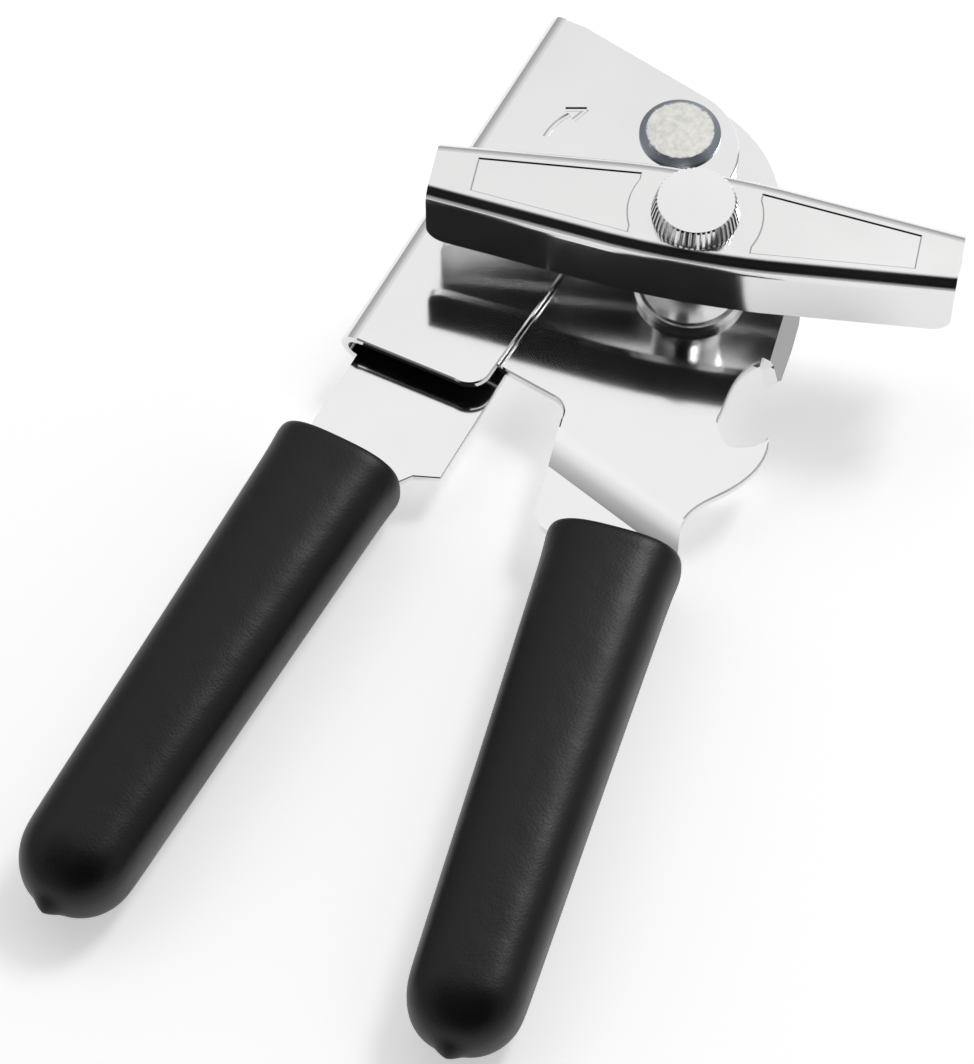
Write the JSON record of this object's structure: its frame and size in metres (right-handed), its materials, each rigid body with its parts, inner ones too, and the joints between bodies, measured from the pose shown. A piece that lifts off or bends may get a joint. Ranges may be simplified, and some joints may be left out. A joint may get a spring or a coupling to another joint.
{
  "type": "manual can opener",
  "caption": "Hand-held can opener: two pivoted handles with soft grips, a turning crank that drives a toothed feed wheel and a round cutter through gears, and a bottle-opening hook.",
  "frame": {"origin": "under the middle of the whole object's box, on the plane that it rests on", "axes": "+Y along the frame handle from its grip's end to the pivot, +Z from the cutter's side to the crank, +X towards the lever handle"},
  "size_m": [0.0904, 0.1862, 0.0364],
  "materials": {
    "chromed_sheet": "bright nickel-chrome plating on pressed steel sheet",
    "satin_sheet": "satin chrome plating on pressed steel sheet",
    "black_vinyl": "satin black soft vinyl",
    "plated_rivet": "dull plated face with a bright bevel",
    "turned_steel": "turned and zinc plated",
    "spring_steel": "blued spring steel",
    "bright_turned": "turned and chrome plated",
    "knurled_steel": "knurled rim, plated, satin end face",
    "gear_steel": "stamped, zinc plated",
    "tool_steel": "hardened and ground steel"
  },
  "bodies": {
    "frame": {"frame_plate": "chromed_sheet", "frame_grip": "black_vinyl", "pivot_rivet": "plated_rivet", "pivot_bush": "turned_steel", "pivot_front_washer": "turned_steel", "pivot_spring_washer": "spring_steel", "pivot_rear_washer": "turned_steel", "cutter_stud": "turned_steel", "cutter_washer": "turned_steel"},
    "lever": {"lever_plate": "chromed_sheet", "lever_grip": "black_vinyl", "drive_bearing": "bright_turned", "bearing_ring": "turned_steel"},
    "drive": {"crank_handle": "satin_sheet", "crank_knob": "knurled_steel", "crank_spacer": "turned_steel", "drive_shaft": "turned_steel", "gear_washer": "turned_steel", "drive_gear": "gear_steel", "feed_wheel": "tool_steel", "drive_nut": "turned_steel"},
    "cutter": {"cutter_gear": "gear_steel", "cutter_sleeve": "turned_steel", "cutter_wheel": "tool_steel"}
  },
  "joints": [
    {"name": "handle_pivot", "type": "hinge", "parent": "frame", "child": "lever", "pos_m": [-0.01354, 0.08037, 0.0106], "axis": [0, 0, 1], "range_deg": [-10, 10]},
    {"name": "crank_spin", "type": "hinge", "parent": "lever", "child": "drive", "pos_m": [0.00167, 0.05437, 0.0106], "axis": [0, 0, 1], "continuous": true},
    {"name": "cutter_spin", "type": "hinge", "parent": "frame", "child": "cutter", "pos_m": [-0.02197, 0.05145, 0.0106], "axis": [0, 0, 1], "continuous": true}
  ],
  "couplings": [
    {"joint": "cutter_spin", "follows": "crank_spin", "ratio": -1}
  ]
}
